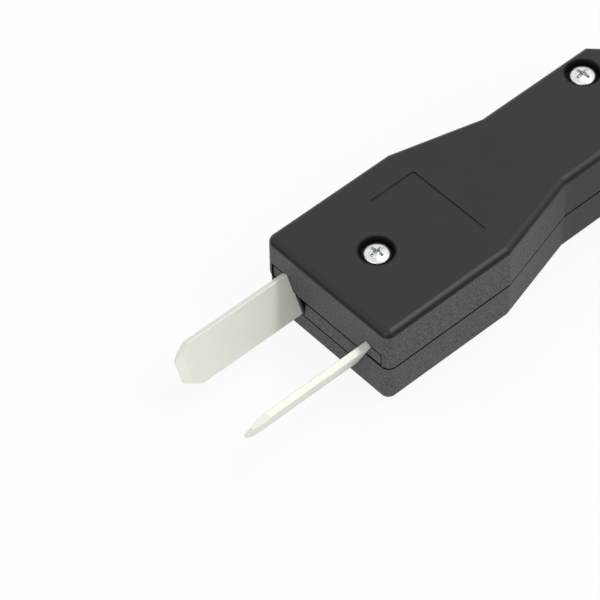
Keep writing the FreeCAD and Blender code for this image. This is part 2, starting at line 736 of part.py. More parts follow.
def terminal(side_name, side):
    """The screw, lock washer, clamp plate and nut that hold a conductor on one blade."""
    face = "blade_thickness / 2"

    plate = new_body(f"{side_name}_wire_clamp")
    outline = sketch_on(plate, "outline", "XY_Plane")
    half = "plate_side / 2"
    cut = "(plate_side / 2 - plate_corner)"
    right = [(cut, f"-({half})"), (half, f"-{cut}"), (half, cut), (cut, half)]
    left = [(f"-({across})", along) for across, along in reversed(right)]
    draw_outline(outline, right + left)
    extrude(plate, "Pad", "plate", outline, "plate_thickness")
    hole = sketch_on(plate, "hole", "XY_Plane", "plate_thickness")
    draw_circle(hole, "0", "0", "terminal_screw + 2 * bolt_hole_gap")
    extrude(plate, "Pocket", "hole", hole, "plate_thickness")
    seat_on_blade(plate, side, "terminal_y", face)

    washer = new_body(f"{side_name}_lock_washer")
    inner = "terminal_screw / 2 + bolt_hole_gap"
    outer = "washer_diameter / 2"
    section = [(inner, "0"), (outer, "0"), (outer, "washer_thickness"), (inner, "washer_thickness")]
    revolve(washer, "Revolution", "ring", "XZ_Plane", "V_Axis", section)
    slit = sketch_on(washer, "slit", "XY_Plane", "washer_thickness")
    draw_outline(slit, box_outline("0", "washer_diameter", "-washer_slit / 2", "washer_slit / 2"))
    extrude(washer, "Pocket", "slit", slit, "washer_thickness")
    seat_on_blade(washer, side, "terminal_y", f"{face} + plate_thickness")

    bolt = cheese_head(
        f"{side_name}_terminal_screw", "terminal_screw", TERMINAL_LENGTH, "terminal_head", "terminal_head_height"
    )
    seat_on_blade(bolt, side, "terminal_y", f"{face} + plate_thickness + washer_thickness")

    nut = new_body(f"{side_name}_terminal_nut")
    hexagon = sketch_on(nut, "hexagon", "XY_Plane")
    corners = []
    for turn in range(0, 360, 60):
        reach = "nut_flats / 2 / cos(30)"
        corners.append((f"{reach} * cos({turn + 30})", f"{reach} * sin({turn + 30})"))
    draw_outline(hexagon, corners)
    extrude(nut, "Pad", "hexagon", hexagon, "nut_thickness")
    bore = sketch_on(nut, "bore", "XY_Plane", "nut_thickness")
    draw_circle(bore, "0", "0", "terminal_screw + 2 * thread_gap")
    extrude(nut, "Pocket", "bore", bore, "nut_thickness")
    seat_on_blade(nut, side, "terminal_y", f"-({face}) - nut_thickness")
    return [plate, washer, bolt, nut]


pieces = [upper_housing(), lower_housing(), blade_carrier(), clamp_strap()]
for side_name, side in (("left", -1), ("right", 1)):
    pieces.append(blade(f"{side_name}_blade", side))
    pieces += terminal(side_name, side)
    pieces.append(clamp_screw(f"{side_name}_clamp_screw", side))
for label, (across, along) in zip(("front_screw", "rear_right_screw", "rear_left_screw"), screw_places()):
    pieces.append(housing_screw(label, across, along))
doc.recompute()

for thing in doc.Objects:
    if "Invalid" in thing.State or "Error" in thing.State:
        raise ValueError(f"{thing.Label} has the state {thing.State}")
    if thing.TypeId in ("PartDesign::Pocket", "PartDesign::Groove"):
        if thing.Shape.Volume > thing.BaseFeature.Shape.Volume - 0.001:
            raise ValueError(f"{thing.Label} cuts nothing")
for body in pieces:
    if body.Shape.isNull() or not body.Shape.isValid() or len(body.Shape.Solids) != 1:
        raise ValueError(f"{body.Label} is not one valid solid")
for body in pieces:
    body.Shape.exportStep(f"parts/{body.Label}.step")
print(len(pieces), "pieces written")
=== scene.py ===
# %% [markdown]
# # A two-blade charger plug
# The plug is a black moulded handle in two halves, screwed together around two bright blades
# that lean outwards at the top. The solid model gives every piece its place. This lesson gives
# each piece its finish, and turns the plain screws, nuts and washers into detailed ones.
#
# The solid model could be dressed in two ways: its own meshes could be painted, or each could
# be rebuilt. Its forms are already right, so only what the solid model leaves plain is rebuilt.

# %% Load the solid model
import math

import bmesh
import bpy
from mathutils import Matrix, Vector


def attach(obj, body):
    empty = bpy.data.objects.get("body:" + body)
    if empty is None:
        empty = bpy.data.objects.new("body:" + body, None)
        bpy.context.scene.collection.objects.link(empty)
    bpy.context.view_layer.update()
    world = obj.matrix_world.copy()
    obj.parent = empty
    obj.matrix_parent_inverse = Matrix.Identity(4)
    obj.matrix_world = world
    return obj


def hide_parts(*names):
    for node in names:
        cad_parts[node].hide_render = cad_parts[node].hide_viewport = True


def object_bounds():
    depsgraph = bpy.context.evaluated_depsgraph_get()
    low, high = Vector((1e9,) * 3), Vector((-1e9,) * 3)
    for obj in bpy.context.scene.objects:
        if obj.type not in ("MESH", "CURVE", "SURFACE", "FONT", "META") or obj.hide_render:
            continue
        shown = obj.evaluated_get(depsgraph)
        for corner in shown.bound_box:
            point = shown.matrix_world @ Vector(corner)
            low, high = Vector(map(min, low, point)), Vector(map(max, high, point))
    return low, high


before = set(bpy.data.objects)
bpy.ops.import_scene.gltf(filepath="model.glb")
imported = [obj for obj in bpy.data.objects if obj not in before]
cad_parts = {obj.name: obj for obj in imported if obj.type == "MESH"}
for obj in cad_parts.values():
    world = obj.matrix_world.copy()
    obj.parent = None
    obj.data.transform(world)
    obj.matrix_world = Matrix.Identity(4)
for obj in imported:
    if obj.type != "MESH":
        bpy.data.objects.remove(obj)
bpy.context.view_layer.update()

# %% [markdown]
# ## The camera
# The photograph was taken with a long lens from the right, in front and above. Its place was
# worked out from the plug's own corners: their places in millimetres and in the picture fix
# one position, one direction and one focal length. Guessing those by eye would leave every
# later comparison a little wrong, so the fitted numbers are used as they are.

# %% Place the camera
MILLIMETRE = 0.001
CAMERA_PLACE = Vector((436.8266, -372.7596, 682.3958)) * MILLIMETRE
CAMERA_RIGHT = Vector((0.66442379, 0.7468568, -0.02731211))
CAMERA_UP = Vector((-0.55712164, 0.51932758, 0.64800798))
CAMERA_BACK = Vector((0.4981531, -0.41533575, 0.76114368))

FOCAL_LENGTH = 205.90
SENSOR_WIDTH = 36.0
NEAREST_SEEN = 0.01

camera = bpy.data.objects.new("camera", bpy.data.cameras.new("camera"))
bpy.context.scene.collection.objects.link(camera)
camera.matrix_world = Matrix.Translation(CAMERA_PLACE) @ Matrix(
    (CAMERA_RIGHT, CAMERA_UP, CAMERA_BACK)
).transposed().to_4x4()
camera.data.lens = FOCAL_LENGTH
camera.data.sensor_width = SENSOR_WIDTH
camera.data.clip_start = NEAREST_SEEN
bpy.context.scene.camera = camera
print("camera height above the parting plane:", round(CAMERA_PLACE.z, 3), "m")

# %% [markdown]
# ## Writing shader maths as Python
# A material is a network of nodes. Placing and wiring those one by one hides the idea behind
# the bookkeeping. Here one small class wraps the output of a node and lets Python's own
# operators add the Math nodes, so that a mask reads like the formula it is.

# %% A wire between shader nodes
class Wire:
    """The output of a shader node, which Python's operators can calculate with."""

    def __init__(self, finish, socket):
        self.finish = finish
        self.socket = socket

    def math(self, operation, *others):
        """A Math node with this wire as its first value."""
        return self.finish.maths(operation, self, *others)

    def __add__(self, other):
        return self.finish.maths("ADD", self, other)

    def __radd__(self, other):
        return self.finish.maths("ADD", other, self)

    def __sub__(self, other):
        return self.finish.maths("SUBTRACT", self, other)

    def __rsub__(self, other):
        return self.finish.maths("SUBTRACT", other, self)

    def __mul__(self, other):
        return self.finish.maths("MULTIPLY", self, other)

    def __rmul__(self, other):
        return self.finish.maths("MULTIPLY", other, self)


class Finish:
    """A material whose nodes are added one call at a time."""

    def __init__(self, name):
        self.material = bpy.data.materials.new(name)
        self.material.use_nodes = True
        self.tree = self.material.node_tree
        self.tree.nodes.clear()

    def node(self, kind, settings=None, inputs=None, output=0):
        """Adds a node: first its settings, then the values or wires of its sockets."""
        made = self.tree.nodes.new(kind)
        for name, setting in (settings or {}).items():
            setattr(made, name, setting)
        for name, value in (inputs or {}).items():
            if isinstance(value, Wire):
                self.tree.links.new(value.socket, made.inputs[name])
            else:
                made.inputs[name].default_value = value
        return Wire(self, made.outputs[output]) if made.outputs else None

    def maths(self, operation, *values):
        """A Math node on wires or plain numbers."""
        return self.node("ShaderNodeMath", {"operation": operation}, dict(enumerate(values)))

    def place(self, stretch=(1, 1, 1)):
        """The point on the piece in metres, stretched for a pattern."""
        point = self.node("ShaderNodeTexCoord", output="Object")
        if stretch == (1, 1, 1):
            return point
        return self.node("ShaderNodeMapping", None, {"Vector": point, "Scale": stretch})

    def axis(self, name):
        """One coordinate of the point on the piece, in metres."""
        return self.node("ShaderNodeSeparateXYZ", None, {"Vector": self.place()}, name)

    def noise(self, size, detail=2.0, stretch=(1, 1, 1)):
        """Cloudy noise around 0.5, with features of about this size in metres."""
        inputs = {"Vector": self.place(stretch), "Scale": 1 / size, "Detail": detail}
        return self.node("ShaderNodeTexNoise", None, {**inputs, "Roughness": 0.55})

    def blend(self, mask, first, second):
        """A colour that goes from the first to the second as the mask goes from 0 to 1."""
        settings = {"data_type": "RGBA", "clamp_factor": True}
        return self.node("ShaderNodeMix", settings, {0: mask, 6: first, 7: second}, 2)

    def bump(self, height, strength, distance):
        """A normal that follows a height, whose full range is the distance in metres."""
        return self.node(
            "ShaderNodeBump", None, {"Height": height, "Strength": strength, "Distance": distance}
        )

    def surface(self, **sockets):
        """Ends the material in a Principled surface, and returns the material."""
        inputs = {name.replace("_", " "): value for name, value in sockets.items()}
        shader = self.node("ShaderNodeBsdfPrincipled", None, inputs)
        self.node("ShaderNodeOutputMaterial", None, {"Surface": shader})
        print("finish made:", self.material.name, "with", len(self.tree.nodes), "nodes")
        return self.material


# %% [markdown]
# ## Charcoal moulded plastic
# The handle is black thermoplastic, straight from the mould. Its flat top and the rounded edge
# around it are smooth and softly matt. Its upright sides carry a fine spark-eroded grain, which
# catches the light and makes them a touch greyer. Two materials would do, but then each piece
# would have to be cut where they meet. One material that reads its own height fades between
# them. Masks do this: numbers between 0 and 1, made from the point's coordinates. The first one
# keeps the grain out of the three screw wells and paints them nearly black, as painted shade for
# the little light that comes back out of them.

# %% Masks from the point's place
def clamped(value):
    """A value kept between 0 and 1."""
    return value.math("MAXIMUM", 0.0).math("MINIMUM", 1.0)


def past(value, level, fade):
    """0 up to a level and 1 once the value is past it by the fade, in metres."""
    return clamped((value - level) * (1 / fade))


def short_of(value, level, fade):
    """0 down to a level and 1 once the value is short of it by the fade, in metres."""
    return clamped((level - value) * (1 / fade))


JOINT_FADE = 0.00003


def between(value, low, high):
    """1 from low to high and 0 outside, in metres, with a short fade at both ends."""
    return past(value, low, JOINT_FADE) * short_of(value, high, JOINT_FADE)


# %% The screw wells
WELLS = ((0.0, 0.018), (0.0092, 0.102))  # the axes of the front one and of the mirrored pair
WELL_EDGE = 0.00525
WELL_FADE = 0.0002


# This mask also paints black shade into the wells, in the handle's finish.
def outside_wells(finish):
    """1 outside the three screw wells, and 0 in them."""
    across = finish.axis("X").math("ABSOLUTE")
    along = finish.axis("Y")
    clear = None
    for x, y in WELLS:
        reach = ((across - x) * (across - x) + (along - y) * (along - y)).math("SQRT")
        beyond = past(reach, WELL_EDGE, WELL_FADE)
        clear = beyond if clear is None else clear * beyond
    return clear


# %% [markdown]
# ## Painted shade in the joints
# The halves leave a narrow groove where they meet, and the blade carrier's tongue and tabs leave
# narrow joints in the mating face. No light comes back out of them. A path tracer shows that in
# a wide gap, but these are a few tenths of a millimetre wide, about a pixel, so their lit edges
# would wash them out. The finish is told where each joint runs, from the sizes of the solids,
# and is painted black there as shade, in bands a little wider than the joints and on the slot walls.

# %% Where the joints are, in metres
GROOVE = (-0.00092, 0.00004)  # height of the painted shade band along the groove between the halves, a little past its edges
FRONT = (-0.0002, 0.009)  # from just before the mating face to behind its wall
BEHIND_FACE = (0.0007, 0.009)  # only the walls of joints and slots lie there
TONGUE_JOINT = (-0.00668, -0.00612)  # height of the painted shade band under the tongue, a little wider than the joint
TONGUE_HALF = (-0.001, 0.0100)
TAB_NOTCH_ACROSS, TAB_NOTCH_UP = (0.0150, 0.02135), (-0.0002, 0.00475)
TAB_FACE_ACROSS, TAB_FACE_UP = (0.0, 0.02075), (-0.001, 0.00378)
SLOTS_ACROSS, SLOTS_UP = (-0.001, 0.0213), (-0.0085, 0.0085)


def shade_in_joints(finish):
    """1 where black shade is painted: in the joints between the halves, around the tongue and the
    tabs, and on the slot walls; otherwise 0.
    """
    across = finish.axis("X").math("ABSOLUTE")
    along = finish.axis("Y")
    height = finish.axis("Z")
    front = between(along, *FRONT)
    under_tongue = between(height, *TONGUE_JOINT) * between(across, *TONGUE_HALF)
    notch = between(across, *TAB_NOTCH_ACROSS) * between(height, *TAB_NOTCH_UP)
    tab = between(across, *TAB_FACE_ACROSS) * between(height, *TAB_FACE_UP)
    walls = between(along, *BEHIND_FACE) * between(across, *SLOTS_ACROSS)
    outside_groove = 1 - between(height, *GROOVE)
    outside_tongue = 1 - front * under_tongue
    outside_tabs = 1 - front * (notch * (1 - tab))
    outside_walls = 1 - walls * between(height, *SLOTS_UP)
    return 1 - outside_groove * outside_tongue * outside_tabs * outside_walls


# %% [markdown]
# ## The handle's one material
# From the top down, the surface goes from the smooth flat over the rounded edge, which is painted
# darker as shade, to the grain. Along the taper the grain loses most of its grey, as painted shade,
# so that the neck is nearly as dark as the top. Where a joint or a well is, painted black shade
# covers everything else. The same masks make the grain rougher and deeper than the top, because
# real texture does all three at once.

# %% Finish of the handle
GRAIN_TOP, GRAIN_FADE = 0.0119, 0.0004  # height at which the grain starts, in metres
EDGE_SHADE_TOP, EDGE_SHADE_FADE = 0.0130, 0.0003  # height below which the rounded edge is painted darker as shade
NECK_SHADE_START, NECK_SHADE_FADE = 0.046, 0.030  # distance from the mating face where painted shade starts to darken the neck's grain
FLAT_COLOURS = (0.0185, 0.0230, 0.0220, 1), (0.0215, 0.0265, 0.0253, 1)
EDGE_SHADE_COLOUR = (0.0030, 0.0036, 0.0036, 1)
GRAIN_COLOURS = (0.020, 0.022, 0.023, 1), (0.122, 0.130, 0.134, 1)
PAINTED_SHADE_COLOUR = (0.0012, 0.0012, 0.0012, 1)


def handle_plastic():
    finish = Finish("charcoal_plastic")
    height = finish.axis("Z")
    open_side = outside_wells(finish)
    under = short_of(height, GRAIN_TOP, GRAIN_FADE) * open_side
    # painted shade: along the taper the grain loses most of its grey, so the neck is darker
    neck_shade = past(finish.axis("Y"), NECK_SHADE_START, NECK_SHADE_FADE)
    # painted shade: the rounded edge is coloured darker than the flat top
    edge_shade = short_of(height, EDGE_SHADE_TOP, EDGE_SHADE_FADE) * (1 - under)
    grain = finish.noise(0.00050, 3.0)
    cloud = finish.noise(0.012, 2.0)
    smooth = finish.blend(edge_shade, finish.blend(cloud, *FLAT_COLOURS), EDGE_SHADE_COLOUR)
    contrast = clamped((grain - 0.5) * 2.2 + 0.5)
    grained = finish.blend(contrast, *GRAIN_COLOURS)
    colour = finish.blend(under * (1 - neck_shade * 0.75), smooth, grained)
    # painted shade: black over the joints and the slot walls, and in the screw wells
    painted_shade = 1 - (1 - shade_in_joints(finish)) * (open_side * 0.95 + 0.05)
    rough = 0.33 + under * 0.25 + (grain - 0.5) * 0.12 + painted_shade * 0.35
    return finish.surface(
        Base_Color=finish.blend(painted_shade, colour, PAINTED_SHADE_COLOUR),
        Roughness=rough,
        Normal=finish.bump(grain * (under * 0.8 + 0.2), 0.55, 0.00006),
        Specular_IOR_Level=0.25,
    )


plastic = handle_plastic()

# %% [markdown]
# ## Plated blades
# The blades are stamped brass with a bright satin plate. Drawing the strip through rollers
# leaves very fine lines along its length. Noise that is stretched along the blade gives those
# lines; a wave pattern would be too even. The lines change the roughness a little and tilt the
# surface by a few thousandths of a millimetre.

# %% Finish of the blades
ALONG_THE_PLUG = (1, 0.03, 1)


def drawn_metal(name, light, dark, metal, rough, line):
    """Metal with lines of a width in metres along the plug, between two colours."""
    finish = Finish(name)
    lines = finish.noise(line, 3.0, ALONG_THE_PLUG)
    patch = finish.noise(0.006, 2.0)
    colour = finish.blend(patch * 0.6 + lines * 0.4, dark, light)
    normal = finish.bump(lines, 0.35, 0.000008)
    roughness = rough + (lines - 0.5) * 0.12 + (patch - 0.5) * 0.06
    return finish.surface(Base_Color=colour, Metallic=metal, Roughness=roughness, Normal=normal)


blade_plate = drawn_metal(
    "satin_nickel", (0.84, 0.84, 0.77, 1), (0.79, 0.79, 0.72, 1), metal=0.1, rough=0.5, line=0.00035
)
strip_steel = drawn_metal(
    "plated_steel", (0.74, 0.74, 0.72, 1), (0.60, 0.60, 0.58, 1), metal=1.0, rough=0.34, line=0.0003
)

# %% [markdown]
# ## Zinc plated screws
# Bright zinc is nearly white, with a faint blue tint and a slightly uneven lustre. Screws are
# plated in a barrel, so there is no direction to the finish: plain noise at two sizes does it.

# %% Finish of the screws
def zinc():
    finish = Finish("bright_zinc")
    cloud = finish.noise(0.0012, 3.0)
    fine = finish.noise(0.0003, 2.0)
    patches = clamped((cloud - 0.5) * 2.5 + 0.5)
    colour = finish.blend(patches, (0.55, 0.58, 0.59, 1), (0.90, 0.91, 0.90, 1))
    roughness = 0.22 + cloud * 0.12 + (fine - 0.5) * 0.08
    normal = finish.bump(fine, 0.25, 0.00001)
    return finish.surface(Base_Color=colour, Metallic=1.0, Roughness=roughness, Normal=normal)


bright_zinc = zinc()

# %% [markdown]
# ## Turned pieces with a thread
# A screw is a turned piece: one outline, carried round an axis. A thread can be a second mesh
# wound around the shank, but that leaves two skins which cross. Here the outline has many rows
# along the thread, and each point's radius depends on its height and its angle together, so
# that the crest winds up the shank in one closed skin.

# %% Turn an outline about the Z axis
def on_circle(radius, angle, height):
    """A point in metres, from a radius and a height in millimetres."""
    return Vector((radius * math.cos(angle), radius * math.sin(angle), height)) * MILLIMETRE


def turned(name, rows, pitch, segments=36):
    """A closed skin from (radius, height, thread depth) rows in millimetres, bottom to top."""
    mesh = bpy.data.meshes.new(name)
    shape = bmesh.new()
    rings = []
    for radius, height, depth in rows:
        ring = []
        for step in range(segments):
            turn = step / segments
            phase = (height / pitch - turn) % 1.0
            crest = max(0.0, 1 - abs(phase - 0.5) * 3.2)
            ring.append(shape.verts.new(on_circle(radius + depth * crest, turn * math.tau, height)))
        rings.append(ring)
    for below, above in zip(rings, rings[1:]):
        for step in range(segments):
            after = (step + 1) % segments
            shape.faces.new((below[step], below[after], above[after], above[step]))
    for ring, height, outwards in ((rings[0], rows[0][1], False), (rings[-1], rows[-1][1], True)):
        pole = shape.verts.new((0, 0, height * MILLIMETRE))
        for step in range(segments):
            corners = [ring[step], ring[(step + 1) % segments], pole]
            shape.faces.new(corners if outwards else corners[::-1])
    shape.to_mesh(mesh)
    shape.free()
    return mesh


def smoothed(mesh, degrees=32):
    """Smooth shading, apart from edges sharper than the angle."""
    mesh.shade_smooth()
    mesh.set_sharp_from_angle(angle=math.radians(degrees))
    return mesh


# %% [markdown]
# ## The cross recess
# A driver leaves no doubt about a screw, so the recess is cut for real: two tapered wings that
# cross, and a small cone in the middle where a real punch leaves one. The cut is a boolean on
# the turned head, which keeps the crisp rim that a bump map could only suggest.

# %% Cut a tapered cross into a head
def tapered_bar(length, width, taper, top, depth):
    """A bar of the cutter, in millimetres, that narrows downwards."""
    low = [(x * length * taper / 2, y * width * taper / 2, top - depth) for x, y in CORNERS]
    high = [(x * length / 2, y * width / 2, top + 0.4) for x, y in CORNERS]
    return low + high


CORNERS = ((-1, -1), (1, -1), (1, 1), (-1, 1))
BAR_FACES = ((3, 2, 1, 0), (4, 5, 6, 7), (0, 1, 5, 4), (1, 2, 6, 5), (2, 3, 7, 6), (3, 0, 4, 7))


def cut(mesh, corners, turn):
    """The mesh less a bar that is turned about the Z axis."""
    bar = bpy.data.meshes.new("cutter")
    spin = Matrix.Rotation(turn, 3, "Z")
    bar.from_pydata([spin @ Vector(corner) * MILLIMETRE for corner in corners], [], BAR_FACES)
    blank = bpy.data.objects.new("blank", mesh)
    cutter = bpy.data.objects.new("cutter", bar)
    for thing in (blank, cutter):
        bpy.context.scene.collection.objects.link(thing)
    carve = blank.modifiers.new("cut", "BOOLEAN")
    carve.object = cutter
    carve.solver = "EXACT"
    view = bpy.context.evaluated_depsgraph_get()
    result = bpy.data.meshes.new_from_object(blank.evaluated_get(view))
    for thing in (blank, cutter):
        bpy.data.objects.remove(thing)
    return result


def with_cross(mesh, top, span, slot, depth):
    """The screw with a cross recess in its head."""
    for turn in (0.0, math.pi / 2):
        mesh = cut(mesh, tapered_bar(span, slot, 0.55, top, depth), turn)
    return cut(mesh, tapered_bar(slot * 1.9, slot * 1.9, 0.4, top, depth * 0.9), math.pi / 4)


# %% [markdown]
# ## One shank, two heads
# The housing screws have domed pan heads with a cross. The screws that an electrician loosens,
# at the cord clamp and the terminals, have flat-topped heads with a straight slot. Both stand on
# the same kind of shank, so the shank is one function and each head adds its own rows.

# %% The threaded shank
ROWS_PER_TURN = 10
PLAIN_UNDER_HEAD = 0.8
POINT_RADIUS = 0.25


def shank_rows(diameter, length, tip, pitch, depth):
    """Rows of a threaded shank from its end up to the underside of the head."""
    core = diameter / 2 - depth
    start = POINT_RADIUS if tip > 1 else core * 0.8
    rows = [(start, -length, 0.0)]
    threaded = length - PLAIN_UNDER_HEAD
    count = int(threaded / pitch * ROWS_PER_TURN)
    for step in range(1, count + 1):
        height = -length + threaded * step / count
        point = min(1.0, (height + length) / tip)
        fade = min(1.0, (-PLAIN_UNDER_HEAD - height) / pitch)
        rows.append((start + (core - start) * point, height, depth * min(point, fade)))
    return rows + [(core, -0.05, 0.0), (core + 0.15, 0.0, 0.0)]


# %% The two kinds of head
DOME_ROWS = 12


def pan_head_screw(name, diameter, length, head, rim, dome, tip, pitch, depth, cross):
    """A domed screw with a cross recess, with the underside of its head at height 0."""
    rows = shank_rows(diameter, length, tip, pitch, depth)
    rows += [(head / 2 - 0.12, 0.0, 0.0), (head / 2, 0.12, 0.0), (head / 2, rim, 0.0)]
    for step in range(1, DOME_ROWS):
        lift = step / DOME_ROWS * math.pi / 2
        rows.append((head / 2 * math.cos(lift) ** 0.8, rim + dome * math.sin(lift), 0.0))
    mesh = with_cross(turned(name, rows, pitch), rim + dome, *cross)
    print(name, "has", len(mesh.polygons), "faces")
    return smoothed(mesh)


def cheese_head_screw(name, diameter, length, head, height, tip, pitch, depth, slot):
    """A flat-topped screw with a straight slot, with the underside of its head at height 0."""
    rows = shank_rows(diameter, length, tip, pitch, depth)
    rows += [(head / 2 - 0.12, 0.0, 0.0), (head / 2, 0.12, 0.0), (head / 2, height - 0.25, 0.0)]
    rows += [(head / 2 - 0.08, height - 0.08, 0.0), (head / 2 - 0.28, height, 0.0)]
    width, reach = slot
    mesh = cut(turned(name, rows, pitch), tapered_bar(head * 1.2, width, 1.0, height, reach), 0.0)
    print(name, "has", len(mesh.polygons), "faces")
    return smoothed(mesh)


# %% The three screws, in millimetres
housing_screw = pan_head_screw(
    "housing_screw", diameter=3.5, length=19.0, head=7.7, rim=1.15, dome=1.4,
    tip=2.5, pitch=1.25, depth=0.5, cross=(5.2, 1.1, 1.8),
)
clamp_screw = cheese_head_screw(
    "clamp_screw", diameter=3.5, length=9.5, head=6.5, height=2.2,
    tip=2.5, pitch=1.25, depth=0.5, slot=(1.0, 1.0),
)
terminal_screw = cheese_head_screw(
    "terminal_screw", diameter=4.0, length=8.4, head=7.4, height=2.4,
    tip=0.5, pitch=0.7, depth=0.35, slot=(1.0, 1.0),
)

# %% [markdown]
# ## Nuts and spring washers
# A pressed nut has its corners turned off at both faces, which leaves the familiar curved
# flats. Meeting a plain hexagon with a double cone gives just that curve. The spring washer is
# a short coil with a cut through it, one end a little above the other.

# %% A hexagon nut
CORNER_CONE = 0.96
BORE_BEVEL = 0.3


def nut_mesh(name, flats, thickness, bore, segments=48):
    """A nut whose wall is a hexagon trimmed by a cone at both faces."""
    shape = bmesh.new()
    rings = []
    levels = [0.0, 0.12, 0.3, 0.6]
    levels += [thickness - level for level in reversed(levels)]
    for height in levels:
        edge = min(height, thickness - height)
        cone = flats / 2 * CORNER_CONE + edge * 1.6
        ring = []
        for step in range(segments):
            angle = math.tau * step / segments
            within = (angle + math.pi / 6) % (math.pi / 3) - math.pi / 6
            reach = min(flats / 2 / math.cos(within), cone)
            ring.append(shape.verts.new(on_circle(reach, angle, height)))
        rings.append(ring)
    inner, mouth = bore / 2, bore / 2 + BORE_BEVEL
    bore_rows = (mouth, thickness), (inner, thickness - BORE_BEVEL), (inner, BORE_BEVEL), (mouth, 0)
    for radius, height in bore_rows:
        turns = [math.tau * step / segments for step in range(segments)]
        rings.append([shape.verts.new(on_circle(radius, turn, height)) for turn in turns])
    rings.append(rings[0])
    for below, above in zip(rings, rings[1:]):
        for step in range(segments):
            after = (step + 1) % segments
            shape.faces.new((below[step], below[after], above[after], above[step]))
    mesh = bpy.data.meshes.new(name)
    shape.to_mesh(mesh)
    shape.free()
    return smoothed(mesh)


# %% A split washer
def washer_mesh(name, outer, inner, thickness, lift, gap_degrees=12, steps=60):
    """A flat coil with a square section, open by a few degrees."""
    shape = bmesh.new()
    sections = []
    for step in range(steps + 1):
        share = step / steps
        angle = math.radians(gap_degrees / 2 + (360 - gap_degrees) * share)
        base = lift * share
        corners = ((inner, 0), (outer, 0), (outer, thickness - lift), (inner, thickness - lift))
        section = []
        for diameter, height in corners:
            section.append(shape.verts.new(on_circle(diameter / 2, angle, base + height)))
        sections.append(section)
    for before, after in zip(sections, sections[1:]):
        for corner in range(4):
            following = (corner + 1) % 4
            shape.faces.new((before[corner], before[following], after[following], after[corner]))
    shape.faces.new(sections[0][::-1])
    shape.faces.new(sections[-1])
    bmesh.ops.recalc_face_normals(shape, faces=shape.faces)
    mesh = bpy.data.meshes.new(name)
    shape.to_mesh(mesh)
    shape.free()
    return smoothed(mesh)


terminal_nut = nut_mesh("terminal_nut", flats=7.0, thickness=3.2, bore=4.1)
lock_washer = washer_mesh("lock_washer", outer=7.0, inner=4.3, thickness=1.0, lift=0.25)

# %% [markdown]
# ## One tree for everything that repeats
# Three screws close the handle, two hold the strap, and each blade has its own screw, washer
# and nut. Copying objects in a loop would work, but a change would then touch every copy.
# Geometry Nodes take one piece and a cloud of seats, each a point with the axis that the
# piece stands on, and put the piece on all of them.

# %% Build the tree that seats copies
def seating_tree():
    tree = bpy.data.node_groups.new("seat_copies", "GeometryNodeTree")
    face = tree.interface
    face.new_socket("Seats", in_out="INPUT", socket_type="NodeSocketGeometry")
    face.new_socket("Piece", in_out="INPUT", socket_type="NodeSocketObject")
    face.new_socket("Spin", in_out="INPUT", socket_type="NodeSocketFloat")
    face.new_socket("Finish", in_out="INPUT", socket_type="NodeSocketMaterial")
    face.new_socket("Copies", in_out="OUTPUT", socket_type="NodeSocketGeometry")

    def add(kind, **settings):
        node = tree.nodes.new(kind)
        for name, value in settings.items():
            setattr(node, name, value)
        return node

    link = tree.links.new
    inputs = add("NodeGroupInput")
    outputs = add("NodeGroupOutput")
    axis = add("GeometryNodeInputNamedAttribute", data_type="FLOAT_VECTOR")
    axis.inputs["Name"].default_value = "axis"
    spin = add("ShaderNodeCombineXYZ")
    first = add("FunctionNodeEulerToRotation")
    align = add("FunctionNodeAlignRotationToVector", axis="Z", pivot_axis="AUTO")
    order = add("FunctionNodeRotateRotation", rotation_space="LOCAL")
    piece = add("GeometryNodeObjectInfo", transform_space="ORIGINAL")
    copies = add("GeometryNodeInstanceOnPoints")
    real = add("GeometryNodeRealizeInstances")
    finish = add("GeometryNodeSetMaterial")
    link(inputs.outputs["Spin"], spin.inputs["Z"])
    link(spin.outputs[0], first.inputs[0])
    link(axis.outputs["Attribute"], align.inputs["Vector"])
    link(align.outputs[0], order.inputs["Rotation"])
    link(first.outputs[0], order.inputs["Rotate By"])
    link(inputs.outputs["Piece"], piece.inputs["Object"])
    link(inputs.outputs["Seats"], copies.inputs["Points"])
    link(piece.outputs["Geometry"], copies.inputs["Instance"])
    link(order.outputs[0], copies.inputs["Rotation"])
    link(copies.outputs[0], real.inputs[0])
    link(real.outputs[0], finish.inputs["Geometry"])
    link(inputs.outputs["Finish"], finish.inputs["Material"])
    link(finish.outputs[0], outputs.inputs[0])
    return tree


SEATING = seating_tree()


def seated(name, mesh, seats, finish, spin_degrees=0.0):
    """One piece with a copy of the mesh on each seat, a (place, axis) pair in millimetres."""
    source = bpy.data.objects.new(name + "_source", mesh)
    bpy.context.scene.collection.objects.link(source)
    cloud = bpy.data.meshes.new(name + "_seats")
    cloud.from_pydata([Vector(place) * MILLIMETRE for place, axis in seats], [], [])
    directions = cloud.attributes.new("axis", "FLOAT_VECTOR", "POINT")
    for item, (place, axis) in zip(directions.data, seats):
        item.vector = axis
    holder = bpy.data.objects.new(name + "_holder", cloud)
    bpy.context.scene.collection.objects.link(holder)
    copies = holder.modifiers.new("copies", "NODES")
    copies.node_group = SEATING
    values = {"Piece": source, "Spin": math.radians(spin_degrees), "Finish": finish}
    for item in SEATING.interface.items_tree:
        if item.in_out == "INPUT" and item.name in values:
            copies[item.identifier] = values[item.name]
    view = bpy.context.evaluated_depsgraph_get()
    result = bpy.data.meshes.new_from_object(holder.evaluated_get(view))
    holder.modifiers.remove(copies)
    bpy.data.objects.remove(holder)
    bpy.data.objects.remove(source)
    if "axis" in result.attributes:
        result.attributes.remove(result.attributes["axis"])
    result.name = name
    piece = bpy.data.objects.new(name, result)
    bpy.context.scene.collection.objects.link(piece)
    print(name, "has", len(seats), "copies and", len(result.polygons), "faces")
    return piece


# %% [markdown]
# ## Where the pieces sit
# The seats repeat the solid model's own sizes. On a blade, everything stands square to the
# blade's face, so the axis leans with the blade, and each piece's height is counted from the
# middle of the blade's thickness.

